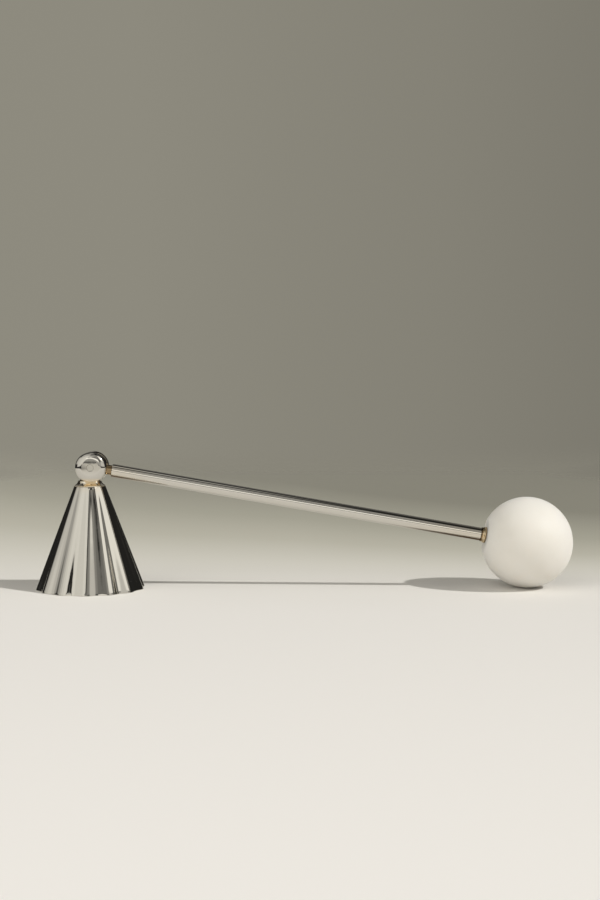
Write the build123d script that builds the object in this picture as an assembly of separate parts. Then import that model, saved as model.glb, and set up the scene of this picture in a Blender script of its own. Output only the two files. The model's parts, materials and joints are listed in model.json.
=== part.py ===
from build123d import *
import math
import os

# Candle snuffer: a fluted bell hinged to a slim handle with a ball at its end.
# All lengths are in millimetres and all angles in degrees.
# The tool rests on a flat surface at Z = 0, on the bell's mouth and on the ball.
# The handle runs from the bell towards +X, and the hinge pin lies along Y.
# The origin is the middle of the tool's footprint.

# Bell
mouth_radius = 25.2
bell_height = 47.6
shoulder_radius = 7.1
bell_wall = 1.2
flute_count = 14
flute_depth = 1.2
flute_top_depth = 0.1
flute_turn = -87.3

# Crown collar, which seats the fork on the bell
collar_height = 2.3
collar_lip = 0.2
collar_land = 0.4
collar_cove_depth = 0.35
collar_spigot_radius = 3.9
collar_spigot_gap = 0.2

# Fork of the knuckle, whose hinge stands off the bell's axis towards the handle
hinge_offset = 1.15
cheek_radius = 7.05
cheek_flat_radius = 3.9
cheek_rim_depth = 1.9
knuckle_half_width = 7.3
slot_width = 5.2
slot_bridge = 0.95
foot_radius = 4.9
foot_taper = 0.8
foot_rise = 1.4
foot_cove_depth = 0.15
foot_shoulder = 0.9
foot_spigot_length = 1.3
handle_stop_angle = 61.0

# Stem of the fork and what holds it under the crown
stem_radius = 2.0
stem_overhang = 0.8
washer_radius = 4.5
washer_thickness = 0.8
lock_washer_radius = 3.8
lock_washer_thickness = 0.9
lock_washer_slit = 0.8
nut_across_flats = 7.0
nut_height = 3.2
nut_chamfer = 0.4

# Hinge pin and the washers beside the tongue
pin_radius = 1.6
pin_edge_break = 0.1
hinge_washer_inset = 0.8
hinge_washer_thickness = 0.3

# Tongue and neck
tongue_radius = 5.2
neck_side_gap = 0.3
neck_reach = 2.2
tube_spigot_length = 10.0

# Handle
handle_reach = 204.4
tube_radius = 3.0
tube_wall = 1.0
tube_edge_break = 0.2
bush_length = 12.0

# Ball and its fittings
ball_radius = 21.1
ball_flat_radius = 8.0
ball_flat_edge_radius = 0.8
ball_collar_length = 2.3
ball_collar_flare = 0.75
ball_collar_step = 0.3
ball_collar_step_length = 0.6
ball_collar_flange = 0.9
ball_collar_cove_depth = 0.12
ball_stud_radius = 1.5
ball_stud_end_gap = 1.0
ball_insert_radius = 2.75
ball_insert_length = 9.0
ball_insert_groove_depth = 0.35
ball_insert_groove_width = 1.0

# Fits
seat_clearance = 0.02
running_clearance = 0.05
hole_clearance = 0.1
swing_clearance = 0.2
thread_tip_chamfer = 0.4
cut_overrun = 2.0

# Values worked out from the driving sizes
side_taper = (mouth_radius - shoulder_radius) / bell_height
wall_run = bell_wall * math.hypot(1, side_taper)
collar_flange_radius = shoulder_radius - flute_top_depth / 2
collar_top_radius = foot_radius + collar_land
collar_spigot_length = bell_wall - collar_spigot_gap
foot_spigot_radius = foot_radius - foot_shoulder
slot_floor_radius = tongue_radius + swing_clearance
hinge_rise = slot_floor_radius + slot_bridge
hinge_height = bell_height + collar_height + hinge_rise
handle_slope = math.degrees(math.asin((hinge_height - ball_radius) / handle_reach))
hinge_to_ball = handle_reach * math.cos(math.radians(handle_slope))
tongue_half_width = slot_width / 2 - hinge_washer_thickness - running_clearance
hinge_washer_radius = tongue_radius - hinge_washer_inset
neck_radius = slot_width / 2 - neck_side_gap
neck_end = cheek_radius + neck_reach
tube_bore_radius = tube_radius - tube_wall
ball_collar_radius = tube_radius + ball_collar_flare
ball_flat_rise = math.sqrt(ball_radius**2 - ball_flat_radius**2)
ball_seat = handle_reach - ball_flat_rise
tube_end = ball_seat - ball_collar_length
washer_top = bell_height - bell_wall
lock_washer_top = washer_top - washer_thickness
nut_top = lock_washer_top - lock_washer_thickness
stem_tip = nut_top - nut_height - stem_overhang


def flute_radius(crest_radius, depth, angle):
    """Radius of the wavy outline at an angle, a cosine wave below the crest radius."""
    phase = math.radians(flute_count * (angle - flute_turn))
    return crest_radius - depth * (1 - math.cos(phase)) / 2


def flute_edge(crest_radius, depth, height, valley):
    """One lobe of the wavy outline, from the valley at an angle to the next valley."""
    points = []
    for share in (0, 0.2, 0.4, 0.6, 0.8, 1):
        angle = valley + 360 / flute_count * share
        radius = flute_radius(crest_radius, depth, angle)
        turn = math.radians(angle)
        points.append((radius * math.cos(turn), radius * math.sin(turn), height))
    first = math.radians(valley)
    last = math.radians(valley + 360 / flute_count)
    tangents = [(-math.sin(first), math.cos(first), 0), (-math.sin(last), math.cos(last), 0)]
    return Spline(points, tangents=tangents)


def flute_section(crest_radius, depth, height):
    """Wavy closed outline of the bell at one height, as a face."""
    edges = []
    for k in range(flute_count):
        valley = flute_turn + 360 / flute_count * (k + 0.5)
        edges.append(flute_edge(crest_radius, depth, height, valley))
    return make_face(edges)


def fluted_cone(low, high, inset):
    """Solid fluted cone between two heights, its sides moved inwards by the inset."""
    sections = []
    for height in (low, high):
        share = height / bell_height
        crest_radius = mouth_radius - side_taper * height - inset
        depth = flute_depth + (flute_top_depth - flute_depth) * share
        sections.append(flute_section(crest_radius, depth, height))
    return loft(sections, ruled=True)


def mouth_reach():
    """How far the wavy mouth reaches from the bell's axis towards -X."""
    reach = 0
    for angle in range(90, 271):
        radius = flute_radius(mouth_radius, flute_depth, angle)
        reach = max(reach, -radius * math.cos(math.radians(angle)))
    return reach


overall_length = mouth_reach() + hinge_offset + hinge_to_ball + ball_radius
bell_x = mouth_reach() - overall_length / 2
hinge_x = bell_x + hinge_offset


def on_bell(shape):
    """Move a shape from the bell's own axis to its place."""
    return Pos(bell_x, 0, 0) * shape


def on_hinge(shape):
    """Move a shape centred on the hinge to its place, upright like the bell."""
    return Pos(hinge_x, 0, hinge_height) * shape


def on_handle(shape):
    """Move a shape laid along X from the hinge to its place on the sloping handle."""
    return Pos(hinge_x, 0, hinge_height) * Rot(0, handle_slope, 0) * shape


def ring(outer_radius, inner_radius, low, high):
    """Plain ring about Z between two heights."""
    height = high - low
    middle = (low + high) / 2
    body = Cylinder(outer_radius, height) - Cylinder(inner_radius, height + cut_overrun)
    return Pos(0, 0, middle) * body


def turned_about_z(outline):
    """Solid of revolution about Z from an outline of radius and height."""
    return revolve(Plane.XZ * make_face(outline), axis=Axis.Z)


def turned_about_x(outline):
    """Solid of revolution about X from an outline of distance and radius."""
    return revolve(Plane.XY * make_face(outline), axis=Axis.X)


def bell_shell():
    """Fluted shell with an even wall, a flat crown and a centre hole."""
    shell = fluted_cone(0, bell_height, 0)
    shell -= fluted_cone(-cut_overrun, bell_height - bell_wall, wall_run)
    hole = Cylinder(collar_spigot_radius + hole_clearance, bell_wall * 2 + cut_overrun)
    shell -= Pos(0, 0, bell_height) * hole
    return on_bell(shell)


def crown_collar():
    """Turned collar with a coved slope, a recess for the foot and a spigot."""
    bore = stem_radius + hole_clearance
    recess = foot_spigot_radius + running_clearance
    recess_floor = collar_height - foot_spigot_length
    cove_foot = (collar_flange_radius, collar_lip)
    cove_head = (collar_top_radius, collar_height)
    outline = Curve() + [
        Line((bore, -collar_spigot_length), (collar_spigot_radius, -collar_spigot_length)),
        Line((collar_spigot_radius, -collar_spigot_length), (collar_spigot_radius, 0)),
        Line((collar_spigot_radius, 0), (collar_flange_radius, 0)),
        Line((collar_flange_radius, 0), cove_foot),
        SagittaArc(cove_foot, cove_head, collar_cove_depth),
        Line(cove_head, (recess, collar_height)),
        Line((recess, collar_height), (recess, recess_floor)),
        Line((recess, recess_floor), (bore, recess_floor)),
        Line((bore, recess_floor), (bore, -collar_spigot_length)),
    ]
    return on_bell(Pos(0, 0, bell_height) * turned_about_z(outline))


def knuckle_blank():
    """Both cheeks as one round block along the pin, with flat faces and elliptical rims."""
    rim_width = cheek_radius - cheek_flat_radius
    rim_end = knuckle_half_width - cheek_rim_depth
    low_rim = EllipticalCenterArc(
        (cheek_flat_radius, -rim_end), rim_width, cheek_rim_depth, start_angle=270, arc_size=90
    )
    high_rim = EllipticalCenterArc(
        (cheek_flat_radius, rim_end), rim_width, cheek_rim_depth, start_angle=0, arc_size=90
    )
    outline = Curve() + [
        Line((0, -knuckle_half_width), low_rim @ 0),
        low_rim,
        Line(low_rim @ 1, high_rim @ 0),
        high_rim,
        Line(high_rim @ 1, (0, knuckle_half_width)),
        Line((0, knuckle_half_width), (0, -knuckle_half_width)),
    ]
    return Rot(90, 0, 0) * turned_about_z(outline)


def slot_cutter():
    """Room for the tongue and for the neck over its whole swing."""
    stop = math.radians(handle_stop_angle)
    offset = neck_radius + swing_clearance
    reach = cheek_radius + cut_overrun
    bottom = -offset / math.sin(stop)
    edge = bottom - reach / math.tan(stop)
    outline = Polyline(
        (0, bottom), (reach, edge), (reach, reach), (-reach, reach), (-reach, edge), close=True
    )
    swing = extrude(Plane.XZ * make_face(outline), slot_width / 2, both=True)
    floor = Rot(90, 0, 0) * Cylinder(slot_floor_radius, slot_width)
    return swing + floor


def knuckle_foot():
    """Turned foot and stem on the bell's axis, from the seat upwards and downwards."""
    waist = (foot_radius - foot_taper, foot_rise)
    outline = Curve() + [
        Line((0, -foot_spigot_length), (foot_spigot_radius, -foot_spigot_length)),
        Line((foot_spigot_radius, -foot_spigot_length), (foot_spigot_radius, 0)),
        Line((foot_spigot_radius, 0), (foot_radius, 0)),
        SagittaArc((foot_radius, 0), waist, foot_cove_depth),
        Line(waist, (0, foot_rise)),
        Line((0, foot_rise), (0, -foot_spigot_length)),
    ]
    foot = turned_about_z(outline)
    downwards = (Align.CENTER, Align.CENTER, Align.MAX)
    stem_length = bell_height + collar_height - foot_spigot_length - stem_tip
    stem = Cylinder(stem_radius, stem_length, align=downwards)
    stem = chamfer(stem.edges().sort_by(Axis.Z)[:1], thread_tip_chamfer)
    return foot + Pos(0, 0, -foot_spigot_length) * stem


def knuckle_fork():
    """Round cheeks on a turned foot, with the slot, the pin hole and the stem."""
    downwards = (Align.CENTER, Align.CENTER, Align.MAX)
    trim = Box(cheek_radius * 2, knuckle_half_width * 2, cheek_radius * 2, align=downwards)
    fork = knuckle_blank() - Pos(0, 0, -hinge_rise) * trim
    fork += Pos(-hinge_offset, 0, -hinge_rise) * knuckle_foot()
    fork -= slot_cutter()
    fork -= Rot(90, 0, 0) * Cylinder(pin_radius + seat_clearance, knuckle_half_width * 2)
    return on_hinge(fork)


def hinge_pin():
    """Pin through both cheeks, its ends flush with them and their edges just broken."""
    pin = Cylinder(pin_radius, knuckle_half_width * 2)
    pin = chamfer(pin.edges().filter_by(GeomType.CIRCLE), pin_edge_break)
    return on_hinge(Rot(90, 0, 0) * pin)


def hinge_washer(side):
    """Thin washer between the tongue and one cheek."""
    middle = side * (slot_width - hinge_washer_thickness) / 2
    body = ring(
        hinge_washer_radius,
        pin_radius + hole_clearance,
        -hinge_washer_thickness / 2,
        hinge_washer_thickness / 2,
    )
    return on_hinge(Pos(0, middle, 0) * Rot(90, 0, 0) * body)


def knuckle_tongue():
    """Flat round leaf on the pin, with a neck and a spigot for the tube."""
    leaf = Rot(90, 0, 0) * Cylinder(tongue_radius, tongue_half_width * 2)
    neck_start = hinge_washer_radius + hole_clearance
    spigot_radius = tube_bore_radius - seat_clearance
    spigot_end = neck_end + tube_spigot_length
    outline = Polyline(
        (neck_start, 0),
        (neck_start, neck_radius),
        (neck_end, neck_radius),
        (neck_end, spigot_radius),
        (spigot_end - thread_tip_chamfer, spigot_radius),
        (spigot_end, spigot_radius - thread_tip_chamfer),
        (spigot_end, 0),
        close=True,
    )
    tongue = leaf + turned_about_x(outline)
    tongue -= Rot(90, 0, 0) * Cylinder(pin_radius + running_clearance, slot_width)
    return on_handle(tongue)


def handle_tube():
    """Long thin tube, square at both ends with its edges just broken."""
    outline = Polyline(
        (neck_end, tube_bore_radius),
        (neck_end, tube_radius - tube_edge_break),
        (neck_end + tube_edge_break, tube_radius),
        (tube_end - tube_edge_break, tube_radius),
        (tube_end, tube_radius - tube_edge_break),
        (tube_end, tube_bore_radius),
        close=True,
    )
    return on_handle(turned_about_x(outline))


def tube_bush():
    """Threaded bush fixed in the far end of the tube."""
    outer = tube_bore_radius - seat_clearance
    bore = ball_stud_radius + seat_clearance
    return on_handle(Rot(0, 90, 0) * ring(outer, bore, tube_end - bush_length, tube_end))


def ball_collar():
    """Flared ring between the tube and the ball, seated on the ball's flat."""
    bore = ball_stud_radius + hole_clearance
    step_radius = tube_radius + ball_collar_step
    step_end = tube_end + ball_collar_step_length
    flange_start = ball_seat - ball_collar_flange
    cove_start = (step_end, step_radius)
    cove_end = (flange_start, ball_collar_radius)
    outline = Curve() + [
        Line((tube_end, bore), (tube_end, step_radius)),
        Line((tube_end, step_radius), cove_start),
        SagittaArc(cove_start, cove_end, -ball_collar_cove_depth),
        Line(cove_end, (ball_seat, ball_collar_radius)),
        Line((ball_seat, ball_collar_radius), (ball_seat, bore)),
        Line((ball_seat, bore), (tube_end, bore)),
    ]
    return on_handle(turned_about_x(outline))


def ball_stud():
    """Threaded stud from the bush through the collar into the ball's insert."""
    low = tube_end - bush_length
    high = ball_seat + ball_insert_length - ball_stud_end_gap
    stud = Pos(0, 0, (low + high) / 2) * Cylinder(ball_stud_radius, high - low)
    stud = chamfer(stud.edges().filter_by(GeomType.CIRCLE), thread_tip_chamfer)
    return on_handle(Rot(0, 90, 0) * stud)


def ball_insert():
    """Threaded sleeve fixed in the ball, with a groove that keys the glue."""
    bore = ball_stud_radius + seat_clearance
    outer = ball_insert_radius - seat_clearance
    floor = outer - ball_insert_groove_depth
    middle = ball_seat + ball_insert_length / 2
    half_groove = ball_insert_groove_width / 2
    sleeve = ring(outer, bore, ball_seat, ball_seat + ball_insert_length)
    sleeve -= ring(outer + cut_overrun, floor, middle - half_groove, middle + half_groove)
    return on_handle(Rot(0, 90, 0) * sleeve)


def handle_ball():
    """Plain ball with a flat for the collar and a blind hole for the insert."""
    inwards = (Align.CENTER, Align.CENTER, Align.MIN)
    flat_edge = (ball_seat, ball_flat_radius)
    far_point = (handle_reach + ball_radius, 0)
    outline = make_face(
        Curve()
        + [
            Line((ball_seat, 0), flat_edge),
            RadiusArc(flat_edge, far_point, ball_radius),
            Line(far_point, (ball_seat, 0)),
        ]
    )
    corner = outline.vertices().sort_by(Axis.Y)[-1:]
    ball = revolve(fillet(corner, ball_flat_edge_radius), axis=Axis.X)
    hole = Cylinder(ball_insert_radius, ball_insert_length, align=inwards)
    ball -= Pos(ball_seat, 0, 0) * Rot(0, 90, 0) * hole
    return on_handle(ball)


def stem_washer():
    """Plain washer under the bell's crown."""
    return on_bell(ring(washer_radius, stem_radius + hole_clearance, lock_washer_top, washer_top))


def stem_lock_washer():
    """Split spring washer between the plain washer and the nut."""
    body = ring(lock_washer_radius, stem_radius + hole_clearance, nut_top, lock_washer_top)
    slit = Box(lock_washer_radius * 2, lock_washer_slit, lock_washer_thickness * 2)
    body -= Pos(lock_washer_radius, 0, (nut_top + lock_washer_top) / 2) * slit
    return on_bell(body)


def stem_nut():
    """Hexagon nut with chamfered corners on the fork's stem."""
    corner_radius = nut_across_flats / math.sqrt(3)
    downwards = (Align.CENTER, Align.CENTER, Align.MAX)
    blank = Cylinder(corner_radius, nut_height, align=downwards)
    nut = chamfer(blank.edges().filter_by(GeomType.CIRCLE), nut_chamfer)
    nut &= extrude(RegularPolygon(corner_radius, 6), -nut_height)
    nut -= Cylinder(stem_radius + seat_clearance, nut_height * 2 + cut_overrun)
    return on_bell(Pos(0, 0, nut_top) * nut)


pieces = {
    "bell_shell": bell_shell(),
    "crown_collar": crown_collar(),
    "knuckle_fork": knuckle_fork(),
    "hinge_pin": hinge_pin(),
    "front_hinge_washer": hinge_washer(-1),
    "rear_hinge_washer": hinge_washer(1),
    "stem_washer": stem_washer(),
    "stem_lock_washer": stem_lock_washer(),
    "stem_nut": stem_nut(),
    "knuckle_tongue": knuckle_tongue(),
    "handle_tube": handle_tube(),
    "tube_bush": tube_bush(),
    "ball_collar": ball_collar(),
    "ball_stud": ball_stud(),
    "ball_insert": ball_insert(),
    "handle_ball": handle_ball(),
}

os.makedirs("parts", exist_ok=True)
for name, piece in pieces.items():
    export_step(piece, f"parts/{name}.step")
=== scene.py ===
import json
import math

import bpy
import numpy as np
from bpy.props import FloatProperty, FloatVectorProperty, IntProperty, PointerProperty
from bpy.types import Operator, Panel, PropertyGroup
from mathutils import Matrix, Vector


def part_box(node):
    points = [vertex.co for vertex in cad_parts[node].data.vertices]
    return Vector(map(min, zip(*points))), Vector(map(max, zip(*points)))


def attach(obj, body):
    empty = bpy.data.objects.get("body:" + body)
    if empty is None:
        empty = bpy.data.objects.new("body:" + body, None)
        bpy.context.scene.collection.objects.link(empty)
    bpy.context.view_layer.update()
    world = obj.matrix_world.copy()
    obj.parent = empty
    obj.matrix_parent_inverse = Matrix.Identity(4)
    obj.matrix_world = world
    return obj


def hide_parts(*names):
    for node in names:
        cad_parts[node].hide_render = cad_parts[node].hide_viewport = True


bl_info = {
    "name": "Candle Snuffer Finishes",
    "version": (1, 0, 0),
    "blender": (4, 5, 0),
    "location": "3D View > Sidebar > Snuffer",
    "description": "Finishes and studio for a hinged candle snuffer with a fluted bell",
    "category": "Object",
}

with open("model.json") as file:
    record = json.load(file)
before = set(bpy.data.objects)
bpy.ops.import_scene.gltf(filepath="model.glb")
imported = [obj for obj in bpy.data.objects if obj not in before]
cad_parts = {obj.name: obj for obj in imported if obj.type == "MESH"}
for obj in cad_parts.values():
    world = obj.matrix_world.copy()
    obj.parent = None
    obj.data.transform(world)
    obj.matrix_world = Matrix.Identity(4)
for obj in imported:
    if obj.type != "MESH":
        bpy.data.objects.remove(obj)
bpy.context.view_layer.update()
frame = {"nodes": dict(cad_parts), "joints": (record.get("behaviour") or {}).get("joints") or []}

hinge = Vector(frame["joints"][0]["pos_m"])
ball_low, ball_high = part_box("handle_ball")
ball_centre = (Vector(ball_low) + Vector(ball_high)) / 2
handle_slope = math.atan2(hinge.z - ball_centre.z, ball_centre.x - hinge.x)
ring_low, ring_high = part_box("ball_collar")
ball_collar_reach = ((Vector(ring_low) + Vector(ring_high)) / 2 - hinge).length
collar_low, collar_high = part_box("crown_collar")
bell_axis = Vector(((collar_low[0] + collar_high[0]) / 2, 0, 0))
columns_for_each_flute = 48


class Field:
    """A number or colour worked out over a surface. Python's operators on it add Math nodes."""

    def __init__(self, tree, socket):
        self.tree = tree
        self.socket = socket

    def math(self, operation, first, second=None):
        values = {0: first} if second is None else {0: first, 1: second}
        return self.tree.node("ShaderNodeMath", {"operation": operation}, values)

    def __add__(self, other):
        return self.math("ADD", self, other)

    def __radd__(self, other):
        return self.math("ADD", other, self)

    def __sub__(self, other):
        return self.math("SUBTRACT", self, other)

    def __rsub__(self, other):
        return self.math("SUBTRACT", other, self)

    def __mul__(self, other):
        return self.math("MULTIPLY", self, other)

    def __rmul__(self, other):
        return self.math("MULTIPLY", other, self)

    def __truediv__(self, other):
        return self.math("DIVIDE", self, other)

    def __pow__(self, other):
        return self.math("POWER", self, other)

    def __abs__(self):
        return self.math("ABSOLUTE", self)

    def at_least(self, other):
        return self.math("MAXIMUM", self, other)

    def at_most(self, other):
        return self.math("MINIMUM", self, other)

    def rise(self, low, high):
        """0 below low, 1 above high, and a smooth S between them. It falls where low is the
        higher one."""
        settings = {"interpolation_type": "SMOOTHSTEP"}
        return self.tree.node("ShaderNodeMapRange", settings, {0: self, 1: low, 2: high})


class Tree:
    """Node tree of a material or of the world."""

    def __init__(self, owner):
        owner.use_nodes = True
        self.owner = owner
        self.nodes = owner.node_tree.nodes
        self.links = owner.node_tree.links
        self.nodes.clear()

    def node(self, kind, settings=None, values=None, output=0):
        """Add a node, set its settings, then its sockets by value or link, and give an output."""
        node = self.nodes.new(kind)
        for name, setting in (settings or {}).items():
            if name == "stops":
                self.set_stops(node.color_ramp.elements, setting)
            else:
                setattr(node, name, setting)
        for name, value in (values or {}).items():
            if isinstance(value, Field):
                self.links.new(value.socket, node.inputs[name])
            else:
                node.inputs[name].default_value = value
        return Field(self, node.outputs[output]) if len(node.outputs) else node

    @staticmethod
    def set_stops(elements, stops):
        """Give a ramp its stops, each a place and a colour or a grey."""
        for place, _ in stops[2:]:
            elements.new(place)
        for element, (place, value) in zip(elements, stops):
            element.position = place
            colour = (value, value, value) if isinstance(value, (int, float)) else value
            element.color = (*colour, 1)

    def place(self):
        """Object coordinates, which are the shared frame's metres."""
        return self.node("ShaderNodeTexCoord", output="Object")

    def place_from(self, origin, rotation=(0, 0, 0)):
        """Object coordinates about another origin, turned by angles in radians."""
        values = {0: self.place(), 1: origin, 2: rotation}
        return self.node("ShaderNodeMapping", {"vector_type": "TEXTURE"}, values)

    def stretched(self, vector, scale):
        """A vector stretched along each axis."""
        return self.node("ShaderNodeMapping", {"vector_type": "POINT"}, {0: vector, 3: scale})

    def scaled(self, vector, factor):
        """A vector or colour times a number."""
        return self.node("ShaderNodeVectorMath", {"operation": "SCALE"}, {0: vector, 3: factor})

    def parts(self, vector):
        """The three numbers of a vector."""
        split = self.nodes.new("ShaderNodeSeparateXYZ")
        self.links.new(vector.socket, split.inputs[0])
        return [Field(self, socket) for socket in split.outputs]

    def noise(self, vector, scale, detail, roughness=0.5):
        """Soft cloudy noise from 0 to 1, its scale in lumps for each metre."""
        values = {"Vector": vector, "Scale": scale, "Detail": detail, "Roughness": roughness}
        return self.node("ShaderNodeTexNoise", values=values)

    def mix(self, factor, first, second, blend="MIX"):
        """Two colours mixed by a factor."""
        settings = {"data_type": "RGBA", "blend_type": blend}
        first = first if isinstance(first, Field) else (*first[:3], 1)
        second = second if isinstance(second, Field) else (*second[:3], 1)
        return self.node("ShaderNodeMix", settings, {0: factor, 6: first, 7: second}, output=2)

    def bump(self, height, distance, normal=None):
        """Normal of a surface raised by a height times a distance in metres."""
        values = {"Height": height, "Distance": distance}
        if normal is not None:
            values["Normal"] = normal
        return self.node("ShaderNodeBump", values=values)

    def surface(self, values):
        """Finish a material with one Principled shader."""
        shader = self.node("ShaderNodeBsdfPrincipled", values=values)
        self.node("ShaderNodeOutputMaterial", values={0: shader})
        return self.owner


def new_tree(name):
    return Tree(bpy.data.materials.new(name))


def along_handle(tree):
    """Coordinates with X along the handle from the hinge, Y along the pin and Z across."""
    return tree.place_from(hinge, (0, handle_slope, 0))


def about_bell(tree):
    """Coordinates with the origin on the bell's axis at its mouth."""
    return tree.place_from(bell_axis)


def darker(colour, share):
    """A colour brought down to a share of itself."""
    return tuple(share * part for part in colour)


def polished(tree, coordinates, grain, colour, settings, form=None):
    """Polished nickel: hair lines that run where the grain's number is small, faint buffing waves
    and a thin haze. The form is the normal of a rounding that lies under them."""
    hairs = tree.noise(tree.stretched(coordinates, grain), scale=1.0, detail=3.0, roughness=0.7)
    waves = tree.noise(coordinates, settings.wave_scale, detail=1.0, roughness=0.4)
    haze = tree.noise(coordinates, scale=90.0, detail=4.0, roughness=0.6).rise(0.35, 0.75)
    haze_share, hair_share = 0.03, 0.01
    roughness = settings.roughness + haze_share * haze + hair_share * hairs
    waved = tree.bump(waves, settings.wave_height, form)
    lined = tree.bump(hairs, settings.line_depth, waved)
    return tree.surface(
        {"Base Color": colour, "Metallic": 1.0, "Roughness": roughness, "Normal": lined}
    )


def wall_radius(bell, around, height):
    """Fluted cone about the bell's axis, of two parameters, the angle round it and the height.
    The crests' radius runs straight from the mouth to the crown, and a flute sinks below it by
    half its depth times one minus the cosine of the flute count times the angle from the first
    crest. The depth also runs straight up the bell."""
    up = height / bell.height
    crest = bell.mouth_radius + (bell.crown_radius - bell.mouth_radius) * up
    depth = bell.mouth_depth + (bell.crown_depth - bell.mouth_depth) * up
    return crest - depth * (1 - np.cos(bell.flutes * (around - bell.turn))) / 2


def eased(start, end, count):
    """Steps from start to end, close together at both ends, without the first."""
    steps = (1 - np.cos(np.linspace(0, np.pi, count))) / 2
    return start + (end - start) * steps[1:]


def bell_profile(bell):
    """Closed path round the bell's section as heights, insets from the wall and shares of the way
    to the hole: up the outside, over the crown's edge, in to the hole, down it, out along the
    ceiling, down the inside and round the rim."""
    slope = (bell.mouth_radius - bell.crown_radius) / bell.height
    inside = bell.wall * math.hypot(1, slope)
    ceiling = bell.height - bell.wall
    edge = bell.edge
    outside_rows, crown_rows, hole_rows, inside_rows, rim_rows, edge_rows = 40, 10, 6, 20, 5, 6
    turn = np.linspace(0, np.pi / 2, edge_rows)[1:]
    runs = (
        (np.linspace(edge, bell.height - edge, outside_rows), 0, 0),
        (bell.height - edge + edge * np.sin(turn), edge * (1 - np.cos(turn)), 0),
        (bell.height, edge, eased(0, 1, crown_rows)),
        (eased(bell.height, ceiling, hole_rows), edge, 1),
        (ceiling, inside, eased(1, 0, crown_rows)),
        (eased(ceiling, edge, inside_rows), inside, 0),
        (edge - edge * np.sin(turn), inside - edge * (1 - np.cos(turn)), 0),
        (0, eased(inside - edge, edge, rim_rows), 0),
        (edge * (1 - np.cos(turn[:-1])), edge * (1 - np.sin(turn[:-1])), 0),
    )
    return [np.concatenate(row) for row in zip(*(np.broadcast_arrays(*run) for run in runs))]


def bell_mesh(bell):
    """Grid over the section's path and the angle round the axis, closed both ways. A point's
    radius is the wall's, less the inset, and goes over to the hole's by its share."""
    height, inset, share = (row[:, None] for row in bell_profile(bell))
    columns = bell.flutes * columns_for_each_flute
    around = np.arange(columns)[None, :] * (2 * np.pi / columns)
    radius = wall_radius(bell, around, height) - inset
    radius = radius * (1 - share) + bell.hole_radius * share
    x = bell_axis.x + radius * np.cos(around)
    y = radius * np.sin(around)
    points = np.stack([x, y, height + 0 * around], axis=-1).reshape(-1, 3)
    row, column = np.meshgrid(*map(np.arange, radius.shape), indexing="ij")
    above = (row + 1) % radius.shape[0]
    beside = (column + 1) % columns
    corners = (
        row * columns + column,
        row * columns + beside,
        above * columns + beside,
        above * columns + column,
    )
    mesh = bpy.data.meshes.new("fluted_bell")
    mesh.from_pydata(points, [], np.stack(corners, axis=-1).reshape(-1, 4).tolist())
    mesh.shade_smooth()
    return mesh


def dress(material, *names):
    """Give CAD nodes their finished material."""
    for name in names:
        node = frame["nodes"][name]
        for slot in node.material_slots:
            slot.material = material


class SnufferBell(PropertyGroup):
    flutes: IntProperty(
        name="Flutes",
        description="Number of flutes round the bell",
        default=14,
        min=3,
    )
    mouth_radius: FloatProperty(
        name="Mouth Radius",
        description="Radius of the flutes' crests at the mouth",
        default=0.0252,
        min=0,
        unit="LENGTH",
    )
    crown_radius: FloatProperty(
        name="Crown Radius",
        description="Radius of the flutes' crests at the crown",
        default=0.0071,
        min=0,
        unit="LENGTH",
    )
    height: FloatProperty(
        name="Height",
        description="Height of the bell",
        default=0.0476,
        min=0,
        unit="LENGTH",
    )
    mouth_depth: FloatProperty(
        name="Flute Depth",
        description="Depth of the flutes at the mouth",
        default=0.0012,
        min=0,
        unit="LENGTH",
    )
    crown_depth: FloatProperty(
        name="Flute Depth at Crown",
        description="Depth of the flutes at the crown",
        default=0.0001,
        min=0,
        unit="LENGTH",
    )
    turn: FloatProperty(
        name="First Crest",
        description="Angle of the first crest round the bell's axis",
        default=math.radians(-87.3),
        subtype="ANGLE",
    )
    wall: FloatProperty(
        name="Wall",
        description="Thickness of the bell's wall",
        default=0.0012,
        min=0,
        unit="LENGTH",
    )
    hole_radius: FloatProperty(
        name="Hole Radius",
        description="Radius of the hole in the crown",
        default=0.004,
        min=0,
        unit="LENGTH",
    )
    edge: FloatProperty(
        name="Edge Radius",
        description="Radius of the rounded rim and crown edge",
        default=0.00025,
        min=0,
        unit="LENGTH",
    )


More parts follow.
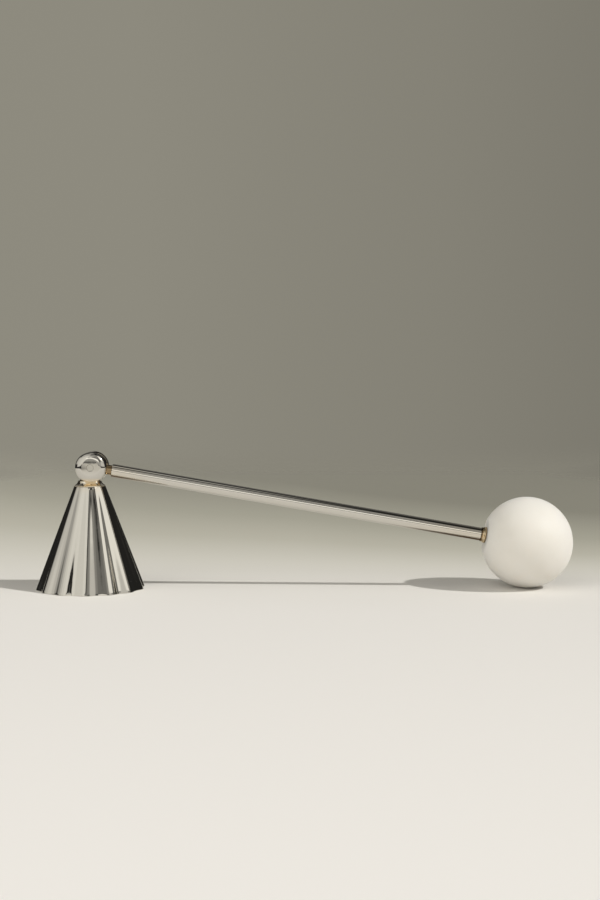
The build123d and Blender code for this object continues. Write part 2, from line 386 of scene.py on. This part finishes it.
class SnufferMetal(PropertyGroup):
    nickel: FloatVectorProperty(
        name="Nickel",
        description="Colour of the polished nickel",
        default=(0.68, 0.66, 0.61),
        subtype="COLOR",
        min=0,
        max=1,
    )
    gold: FloatVectorProperty(
        name="Golden Tint",
        description="Colour of the nickel where it is thin at joins and ends",
        default=(0.80, 0.60, 0.32),
        subtype="COLOR",
        min=0,
        max=1,
    )
    pale_gold: FloatVectorProperty(
        name="Pale Gold",
        description="Colour of the crown collar",
        default=(0.98, 0.92, 0.80),
        subtype="COLOR",
        min=0,
        max=1,
    )
    # Dark bronze used as painted shade and a painted dark reflection: on the tube's underside near
    # its ends, on the neck next to the tube and at the ball collar's edges. It is also a faint
    # tone over the whole ball collar.
    bronze_tone_and_painted_shade: FloatVectorProperty(
        name="Bronze Shade",
        description="Darker shade of the golden tint, along the tube's underside and on its neck",
        default=(0.13, 0.075, 0.03),
        subtype="COLOR",
        min=0,
        max=1,
    )
    roughness: FloatProperty(
        name="Roughness",
        description="Roughness of the polished faces",
        default=0.03,
        min=0,
        max=1,
        subtype="FACTOR",
    )
    wave_scale: FloatProperty(
        name="Buffing Waves",
        description="Buffing waves for each metre of surface",
        default=140.0,
        min=1,
    )
    wave_height: FloatProperty(
        name="Wave Height",
        description="Height of the buffing waves",
        default=0.00002,
        min=0,
        unit="LENGTH",
    )
    cheek_radius: FloatProperty(
        name="Cheek Face",
        description="Radius of the knuckle's cheek faces",
        default=0.0039,
        min=0,
        unit="LENGTH",
    )
    cheek_dome: FloatProperty(
        name="Cheek Rounding",
        description="How much polishing has rounded the cheek faces, as depth over radius squared",
        default=5.7,
        min=0,
    )
    line_depth: FloatProperty(
        name="Polishing Line Depth",
        description="Depth of the fine polishing lines",
        default=0.000002,
        min=0,
        unit="LENGTH",
    )
    steel: FloatVectorProperty(
        name="Steel",
        description="Colour of the steel washers, nut and stud",
        default=(0.60, 0.60, 0.58),
        subtype="COLOR",
        min=0,
        max=1,
    )
    brass: FloatVectorProperty(
        name="Brass",
        description="Colour of the brass bush and sleeve",
        default=(0.78, 0.60, 0.30),
        subtype="COLOR",
        min=0,
        max=1,
    )


class SnufferBall(PropertyGroup):
    stone: FloatVectorProperty(
        name="Stone",
        description="Colour of the ball",
        default=(0.705, 0.685, 0.645),
        subtype="COLOR",
        min=0,
        max=1,
    )
    cloud: FloatVectorProperty(
        name="Clouding",
        description="Colour of the faint clouds in the ball",
        default=(0.68, 0.66, 0.615),
        subtype="COLOR",
        min=0,
        max=1,
    )
    roughness: FloatProperty(
        name="Roughness",
        description="Roughness of the rubbed stone",
        default=0.6,
        min=0,
        max=1,
        subtype="FACTOR",
    )


class SnufferStudio(PropertyGroup):
    backdrop: FloatVectorProperty(
        name="Backdrop",
        description="Colour of the backdrop",
        default=(0.270, 0.257, 0.211),
        subtype="COLOR",
        min=0,
        max=1,
    )
    floor: FloatVectorProperty(
        name="Floor",
        description="Colour of the floor near the object",
        default=(0.95, 0.925, 0.89),
        subtype="COLOR",
        min=0,
        max=1,
    )
    sun: FloatProperty(
        name="Key Lamp",
        description="Strength of the hard lamp on the right",
        default=2.35,
        min=0,
    )
    fill: FloatProperty(
        name="Fill",
        description="Plain light from all round",
        default=0.07,
        min=0,
    )
    sun_height: FloatProperty(
        name="Key Lamp Height",
        description="Angle of the hard lamp above the floor",
        default=math.radians(40),
        subtype="ANGLE",
    )
    sun_turn: FloatProperty(
        name="Key Lamp Turn",
        description="Angle of the hard lamp from the camera's side towards the ball",
        default=math.radians(71),
        subtype="ANGLE",
    )
    lens: FloatProperty(
        name="Lens",
        description="Focal length of the camera in millimetres",
        default=54.0,
        min=1,
        unit="CAMERA",
    )
    camera_place: FloatVectorProperty(
        name="Camera Place",
        description="Where the camera stands",
        default=(-0.00756, -0.623, 0.0991),
        subtype="TRANSLATION",
        unit="LENGTH",
    )
    camera_tilt: FloatProperty(
        name="Camera Tilt",
        description="How far the camera looks down",
        default=math.radians(3.22),
        subtype="ANGLE",
    )
    camera_turn: FloatProperty(
        name="Camera Turn",
        description="How far the camera looks towards the ball",
        default=math.radians(0.49),
        subtype="ANGLE",
    )


class SNUFFER_OT_bell(Operator):
    """Build the fluted bell and finish it in polished nickel"""

    bl_idname = "snuffer.bell"
    bl_label = "Bell"

    def execute(self, context):
        metal = context.scene.snuffer_metal
        shape = context.scene.snuffer_bell
        tree = new_tree("bell_polished_nickel")
        place = about_bell(tree)
        _, _, height = tree.parts(place)
        tinted_height = 0.004
        near_crown = height.rise(shape.height - tinted_height, shape.height)
        colour = tree.mix(near_crown * 0.12, metal.nickel, metal.gold)
        grain = (900, 900, 60)
        mesh = bell_mesh(shape)
        mesh.materials.append(polished(tree, place, grain, colour, metal))
        bell = bpy.data.objects.new("fluted_bell", mesh)
        context.scene.collection.objects.link(bell)
        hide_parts("bell_shell")
        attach(bell, "bell")
        return {"FINISHED"}


class SNUFFER_OT_crown_collar(Operator):
    """Finish the turned collar on the bell's crown"""

    bl_idname = "snuffer.crown_collar"
    bl_label = "Crown Collar"

    def execute(self, context):
        metal = context.scene.snuffer_metal
        tree = new_tree("collar_polished_nickel")
        place = about_bell(tree)
        clouds = tree.noise(place, scale=400.0, detail=1.0).rise(0.3, 0.7)
        colour = tree.mix(clouds * 0.5, metal.pale_gold, metal.gold)
        grain = (60, 60, 3000)
        dress(polished(tree, place, grain, colour, metal), "crown_collar")
        return {"FINISHED"}


class SNUFFER_OT_knuckle(Operator):
    """Finish the fork, its pin and the tongue between its cheeks"""

    bl_idname = "snuffer.knuckle"
    bl_label = "Knuckle"

    def execute(self, context):
        metal = context.scene.snuffer_metal
        fork = new_tree("fork_polished_nickel")
        place = fork.place_from(hinge)
        x, _, z = fork.parts(place)
        foot = z.rise(-0.0045, -0.006)
        # The cheeks take a darker copy of the bell's nickel as painted shade, and are golden where
        # they meet the collar.
        colour = fork.mix(foot * 0.4, darker(metal.nickel, 0.91), metal.gold)
        # The rounding is dome times radius squared, and beyond the cheek's flat face it goes on
        # along its tangent. The bump's distance of one metre leaves it in metres.
        radius = (x * x + z * z) ** 0.5
        inner = radius.at_most(metal.cheek_radius)
        rounding = (inner * inner + 2 * metal.cheek_radius * (radius - inner)) * -metal.cheek_dome
        domed = fork.bump(rounding, 1.0)
        grain = (500, 80, 500)
        dress(polished(fork, place, grain, colour, metal, domed), "knuckle_fork")

        pin = new_tree("pin_polished_nickel")
        place = pin.place_from(hinge)
        x, _, z = pin.parts(place)
        rim = ((x * x + z * z) ** 0.5).rise(0.0013, 0.0016)
        colour = pin.mix(rim * 0.45, metal.nickel, darker(metal.nickel, 0.62))
        grain = (1500, 80, 1500)
        dress(polished(pin, place, grain, colour, metal), "hinge_pin")

        tongue = new_tree("tongue_polished_nickel")
        place = along_handle(tongue)
        x, _, _ = tongue.parts(place)
        # The neck turns golden outside the slot. Next to the tube it is darkened with bronze, as
        # painted shade where it runs into the tube.
        neck = x.rise(0.0048, 0.0062)
        colour = tongue.mix(neck * 0.7 + 0.1, metal.nickel, metal.gold)
        painted_shade_beside_tube = x.rise(0.0062, 0.0072)
        colour = tongue.mix(painted_shade_beside_tube * 0.72, colour, metal.bronze_tone_and_painted_shade)
        grain = (400, 60, 400)
        dress(polished(tongue, place, grain, colour, metal), "knuckle_tongue")
        return {"FINISHED"}


class SNUFFER_OT_tube(Operator):
    """Finish the handle's tube, golden at its two ends"""

    bl_idname = "snuffer.tube"
    bl_label = "Handle Tube"

    def execute(self, context):
        metal = context.scene.snuffer_metal
        tree = new_tree("tube_polished_nickel")
        place = along_handle(tree)
        x, _, z = tree.parts(place)
        # Both ends are tinted gold. Near them, a bronze line along the underside is a painted dark
        # reflection.
        ends = x.rise(0.035, 0.009).at_least(x.rise(0.135, 0.178))
        colour = tree.mix(ends * 0.12, metal.nickel, metal.gold)
        painted_dark_reflection_under = z.rise(-0.0018, -0.0022)
        colour = tree.mix(ends * painted_dark_reflection_under * 0.95, colour, metal.bronze_tone_and_painted_shade)
        grain = (25, 1800, 1800)
        dress(polished(tree, place, grain, colour, metal), "handle_tube")
        return {"FINISHED"}


class SNUFFER_OT_ball_collar(Operator):
    """Finish the flared ring between the tube and the ball"""

    bl_idname = "snuffer.ball_collar"
    bl_label = "Ball Collar"

    def execute(self, context):
        metal = context.scene.snuffer_metal
        tree = new_tree("ball_collar_polished_nickel")
        place = along_handle(tree)
        x, _, _ = tree.parts(place)
        clouds = tree.noise(place, scale=500.0, detail=1.0).rise(0.3, 0.7)
        colour = tree.mix(clouds * 0.3 + 0.6, metal.nickel, metal.gold)
        # Bronze at both edges, where the collar meets the tube and the ball, is painted shade. The
        # rest of the collar gets a faint bronze tone.
        painted_shade_edges = abs(x - ball_collar_reach).rise(0.0003, 0.0009)
        colour = tree.mix(painted_shade_edges * 0.7 + 0.15, colour, metal.bronze_tone_and_painted_shade)
        grain = (2500, 60, 60)
        dress(polished(tree, place, grain, colour, metal), "ball_collar")
        return {"FINISHED"}


class SNUFFER_OT_ball(Operator):
    """Finish the ball in smooth rubbed stone"""

    bl_idname = "snuffer.ball"
    bl_label = "Ball"

    def execute(self, context):
        ball = context.scene.snuffer_ball
        tree = new_tree("ball_rubbed_stone")
        place = tree.place()
        clouds = tree.noise(place, scale=55.0, detail=4.0, roughness=0.55).rise(0.35, 0.7)
        grain = tree.noise(place, scale=2600.0, detail=2.0, roughness=0.6)
        colour = tree.mix(clouds, ball.stone, ball.cloud)
        # The rubbed face is duller in the clouds and on the grain.
        roughness = ball.roughness + 0.12 * (clouds - 0.5) + 0.08 * (grain - 0.5)
        grain_height = 0.000012
        material = tree.surface(
            {
                "Base Color": colour,
                "Roughness": roughness,
                "Normal": tree.bump(grain, grain_height),
                "IOR": 1.45,
                "Specular IOR Level": 0.35,
                "Subsurface Weight": 1.0,
                "Subsurface Radius": (1.0, 0.95, 0.9),
                "Subsurface Scale": 0.02,
            }
        )
        dress(material, "handle_ball")
        return {"FINISHED"}


class SNUFFER_OT_fasteners(Operator):
    """Finish the washers, the nut, the stud and the brass bush and sleeve"""

    bl_idname = "snuffer.fasteners"
    bl_label = "Fasteners"

    def turned(self, name, colour, roughness, lines):
        """Turned metal: fine lathe lines, a mottled colour and uneven shine."""
        tree = new_tree(name)
        place = tree.place()
        mottle = tree.noise(place, scale=700.0, detail=3.0, roughness=0.6)
        fine = tree.noise(tree.stretched(place, lines), scale=1.0, detail=2.0, roughness=0.6)
        line_height = 0.00001
        shade = tree.mix(mottle.rise(0.35, 0.75) * 0.5, colour, darker(colour, 0.7))
        return tree.surface(
            {
                "Base Color": shade,
                "Metallic": 1.0,
                "Roughness": roughness + 0.12 * mottle,
                "Normal": tree.bump(fine, line_height),
            }
        )

    def execute(self, context):
        metal = context.scene.snuffer_metal
        steel = self.turned("washer_satin_steel", metal.steel, 0.26, (300, 3000, 300))
        dress(steel, "front_hinge_washer", "rear_hinge_washer")
        fastener = self.turned("fastener_satin_steel", metal.steel, 0.24, (300, 300, 3000))
        dress(fastener, "stem_washer", "stem_lock_washer", "stem_nut", "ball_stud")
        brass = self.turned("insert_turned_brass", metal.brass, 0.28, (3000, 300, 300))
        dress(brass, "tube_bush", "ball_insert")
        return {"FINISHED"}


class SNUFFER_OT_studio(Operator):
    """Set the floor, the backdrop, the lamp, the painted surroundings and the camera"""

    bl_idname = "snuffer.studio"
    bl_label = "Studio"

    def floor(self, studio):
        """Square floor of two parameters from -1 to 1, each times half of its width."""
        half_width = 4.0
        u, v = half_width * np.array(np.meshgrid((-1, 1), (-1, 1)))
        points = np.stack([u, v, 0 * u], axis=-1).reshape(-1, 3)
        mesh = bpy.data.meshes.new("floor")
        mesh.from_pydata(points.tolist(), [], [(0, 1, 3, 2)])
        plane = bpy.data.objects.new("floor", mesh)
        bpy.context.scene.collection.objects.link(plane)
        tree = new_tree("floor_card")
        place = tree.place()
        x, y, _ = tree.parts(place)
        # Behind the object the floor darkens with distance, and sooner towards the right: painted
        # falloff of the light.
        depth = y + y.at_least(0) * (x * 1.7 + x.at_least(0) * 2)
        nearest, farthest = -0.9, 0.6
        painted_falloff = tree.node(
            "ShaderNodeValToRGB",
            {
                "stops": [
                    (0.0, (0.80, 0.80, 0.78)),
                    (0.2, (0.82, 0.82, 0.80)),
                    (0.333, (0.94, 0.94, 0.945)),
                    (0.553, (0.84, 0.84, 0.84)),
                    (0.60, (0.80, 0.80, 0.79)),
                    (0.66, (0.67, 0.67, 0.63)),
                    (0.72, (0.52, 0.52, 0.465)),
                    (0.80, (0.41, 0.41, 0.36)),
                    (1.0, (0.27, 0.27, 0.235)),
                ]
            },
            {0: (depth - nearest) / (farthest - nearest)},
        )
        paper = tree.noise(place, scale=900.0, detail=2.0, roughness=0.6)
        colour = tree.mix(1.0, studio.floor, painted_falloff, "MULTIPLY")
        shader = tree.node(
            "ShaderNodeBsdfPrincipled",
            values={
                "Base Color": colour,
                "Roughness": 0.75 + 0.1 * paper,
                "Specular IOR Level": 0.1,
            },
        )
        clear = tree.node("ShaderNodeBsdfTransparent")
        # It fades into the backdrop behind, beside and far in front of the object.
        reach = (x * x + y * y) ** 0.5
        behind = y.rise(0.25, 1.3)
        beside = reach.rise(0.6, 0.8) * (abs(x) / reach).rise(0.2, 0.45)
        in_front = y.rise(-2.6, -3.9)
        fade = behind.at_least(beside).at_least(in_front)
        mixed = tree.node("ShaderNodeMixShader", values={0: fade, 1: shader, 2: clear})
        tree.node("ShaderNodeOutputMaterial", values={0: mixed})
        mesh.materials.append(tree.owner)

    def box(self, level, turn, sides, height, ends):
        """Soft box of one level. Its sides and its ends are each four angles in degrees, where it
        starts, is full, starts to fade and is gone, the sides leftmost first, the ends lowest."""
        across = turn.rise(sides[0], sides[1]) * turn.rise(sides[3], sides[2])
        return across * height.rise(ends[0], ends[1]) * height.rise(ends[3], ends[2]) * level

    def left_boxes(self, turn, height):
        """Tall screen on the left, brighter towards the camera, and two dim ones over it."""
        return (
            self.box(0.40, turn, (-110, -102, -92, -84), height, (8, 12, 34, 44))
            + self.box(0.60, turn, (-92, -84, -70, -58), height, (7, 11, 34, 44))
            + self.box(0.74, turn, (-70, -58, -42, -30), height, (-2, 1, 36, 44))
            + self.box(0.82, turn, (-42, -30, -16, -12), height, (-2, 1, 38, 44))
            + self.box(0.55, turn, (-84, -66, -16, -4), height, (38, 44, 52, 66))
            + self.box(0.38, turn, (-84, -66, -16, -4), height, (52, 66, 72, 84))
        )

    def front_boxes(self, turn, height):
        """Screens on the camera's side: strips near the horizon, and a pale wall over a dark one,
        parted by a seam that rises to the right."""
        over_seam = height - (turn.rise(-22, 14) * 9 + 26)
        upper = over_seam.rise(0.9, 2.0)
        lower = over_seam.rise(-0.8, -1.8)
        return (
            self.box(0.42, turn, (-16, -12, 20, 34), height, (-3, -1.5, 8, 14))
            + self.box(1.30, turn, (-20, -12, 14, 22), height, (8, 14, 16, 22))
            + self.box(0.89, turn, (-16, -8, 14, 22), height, (16, 22, 23, 26))
            + self.box(0.80, turn, (-16, -12, 20, 26), height, (24, 26, 38, 42)) * upper
            + self.box(0.55, turn, (-16, -12, -5, -4), height, (24, 26, 38, 42)) * lower
            + self.box(0.18, turn, (-5, -4, 14, 26), height, (24, 28, 38, 42)) * lower
            + self.box(0.16, turn, (-12, -4, 30, 42), height, (38, 42, 46, 54))
            + self.box(0.39, turn, (-12, -4, 30, 42), height, (46, 54, 60, 66))
        )

    def right_boxes(self, turn, height):
        """Bright screen on the right, and under it dimmer ones that a sloping edge cuts off."""
        over_edge = height - (41.5 - turn * 0.25)
        upper = over_edge.rise(-1, 1)
        lower = over_edge.rise(1, -1)
        return (
            self.box(0.68, turn, (20, 34, 84, 90), height, (-1, 3, 16, 22))
            + self.box(0.20, turn, (85, 88, 100, 118), height, (17, 21, 28, 34))
            + self.box(0.27, turn, (14, 26, 34, 46), height, (22, 27, 35, 38)) * lower
            + self.box(0.61, turn, (34, 46, 66, 76), height, (16, 22, 35, 38)) * lower
            + self.box(0.97, turn, (34, 42, 85, 88), height, (19, 21, 33, 38)) * upper
            + self.box(1.25, turn, (30, 50, 85, 100), height, (34, 38, 50, 66))
        )

    def rear_boxes(self, turn, height):
        """Faint glows behind the object."""
        return (
            self.box(0.04, turn, (90, 110, 150, 170), height, (30, 40, 60, 70))
            + self.box(0.10, turn, (-160, -140, -112, -102), height, (30, 40, 60, 70))
            + abs(turn).rise(132, 160) * height.rise(14, 22) * height.rise(60, 40) * 0.13
        )

    def surroundings(self, studio):
        """World: the plain backdrop for the camera, and the painted screens for the rest. A
        direction's turn goes from the camera's side towards the ball, and its height from the
        horizon, both in degrees."""
        world = bpy.data.worlds.new("studio")
        bpy.context.scene.world = world
        tree = Tree(world)
        direction = tree.node("ShaderNodeTexCoord", output="Generated")
        x, y, z = tree.parts(direction)
        degrees = 180 / math.pi
        turn = x.math("ARCTAN2", x, y * -1) * degrees
        height = z.math("ARCSINE", z) * degrees
        ceiling = height.rise(74, 84) * 0.45
        dimmest = 0.02
        grey = (
            self.left_boxes(turn, height)
            + self.front_boxes(turn, height)
            + self.right_boxes(turn, height)
            + self.rear_boxes(turn, height)
            + ceiling
            + dimmest
        )
        warm_tint = (1.06, 1.03, 0.955)
        ground = (0.03, 0.03, 0.03)
        painted = tree.mix(z.rise(0.02, -0.02), tree.scaled(warm_tint, grey), ground)
        # Matt faces get more light from the left than the screens that the metal mirrors give.
        spread = 0.65 + 1.35 * x.rise(0.2, -0.4)
        matt = tree.mix(1.0, tree.scaled(painted, spread), (studio.fill,) * 3, "ADD")
        across = tree.node(
            # The backdrop is painted darker towards the right, as painted falloff of the light on
            # it.
            "ShaderNodeValToRGB",
            {"stops": [(0.0, 1.0), (0.14, 0.99), (0.25, 0.92), (0.36, 0.862), (0.5, 0.74)]},
            {0: x + 0.25},
        )
        backdrop = tree.mix(1.0, studio.backdrop, across, "MULTIPLY")
        camera = tree.node("ShaderNodeLightPath", output="Is Camera Ray")
        mirrored = tree.node("ShaderNodeLightPath", output="Is Glossy Ray")
        seen = tree.mix(camera, tree.mix(mirrored, matt, painted), backdrop)
        shader = tree.node("ShaderNodeBackground", values={0: seen, 1: 1.0})
        tree.node("ShaderNodeOutputWorld", values={0: shader})

    def lamp(self, studio):
        """Hard lamp on the right, far away."""
        light = bpy.data.lights.new("key_lamp", "SUN")
        light.energy = studio.sun
        light.angle = math.radians(1.6)
        light.color = (1.0, 0.985, 0.955)
        lamp = bpy.data.objects.new("key_lamp", light)
        across = math.cos(studio.sun_height)
        x = across * math.sin(studio.sun_turn)
        y = -across * math.cos(studio.sun_turn)
        towards = Vector((x, y, math.sin(studio.sun_height)))
        lamp.rotation_euler = towards.to_track_quat("Z", "Y").to_euler()
        bpy.context.scene.collection.objects.link(lamp)

    def camera(self, studio):
        """Camera at the photographed angle."""
        data = bpy.data.cameras.new("camera")
        data.lens = studio.lens
        data.sensor_width = 36
        data.sensor_fit = "AUTO"
        camera = bpy.data.objects.new("camera", data)
        camera.location = studio.camera_place
        camera.rotation_euler = (math.pi / 2 - studio.camera_tilt, 0, -studio.camera_turn)
        bpy.context.scene.collection.objects.link(camera)
        bpy.context.scene.camera = camera

    def execute(self, context):
        studio = context.scene.snuffer_studio
        self.floor(studio)
        self.surroundings(studio)
        self.lamp(studio)
        self.camera(studio)
        context.scene.view_settings.view_transform = "Standard"
        return {"FINISHED"}


operators = (
    SNUFFER_OT_bell,
    SNUFFER_OT_crown_collar,
    SNUFFER_OT_knuckle,
    SNUFFER_OT_tube,
    SNUFFER_OT_ball_collar,
    SNUFFER_OT_ball,
    SNUFFER_OT_fasteners,
    SNUFFER_OT_studio,
)


class SNUFFER_PT_sidebar(Panel):
    """Sizes, colours and pieces of the candle snuffer"""

    bl_idname = "SNUFFER_PT_sidebar"
    bl_label = "Candle Snuffer"
    bl_space_type = "VIEW_3D"
    bl_region_type = "UI"
    bl_category = "Snuffer"

    def draw(self, context):
        layout = self.layout
        scene = context.scene
        shape, metal = scene.snuffer_bell, scene.snuffer_metal
        ball, studio = scene.snuffer_ball, scene.snuffer_studio
        for group in (shape, metal, ball, studio):
            box = layout.box()
            for name in group.__annotations__:
                box.prop(group, name)
        for operator in operators:
            layout.operator(operator.bl_idname)


classes = (SnufferBell, SnufferMetal, SnufferBall, SnufferStudio, *operators, SNUFFER_PT_sidebar)


def register():
    for item in classes:
        bpy.utils.register_class(item)
    bpy.types.Scene.snuffer_bell = PointerProperty(type=SnufferBell)
    bpy.types.Scene.snuffer_metal = PointerProperty(type=SnufferMetal)
    bpy.types.Scene.snuffer_ball = PointerProperty(type=SnufferBall)
    bpy.types.Scene.snuffer_studio = PointerProperty(type=SnufferStudio)


def unregister():
    del bpy.types.Scene.snuffer_studio
    del bpy.types.Scene.snuffer_ball
    del bpy.types.Scene.snuffer_metal
    del bpy.types.Scene.snuffer_bell
    for item in reversed(classes):
        bpy.utils.unregister_class(item)


def main():
    """Register the classes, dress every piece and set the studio."""
    register()
    bpy.ops.snuffer.bell()
    bpy.ops.snuffer.crown_collar()
    bpy.ops.snuffer.knuckle()
    bpy.ops.snuffer.tube()
    bpy.ops.snuffer.ball_collar()
    bpy.ops.snuffer.ball()
    bpy.ops.snuffer.fasteners()
    bpy.ops.snuffer.studio()


if __name__ == "__main__":
    main()
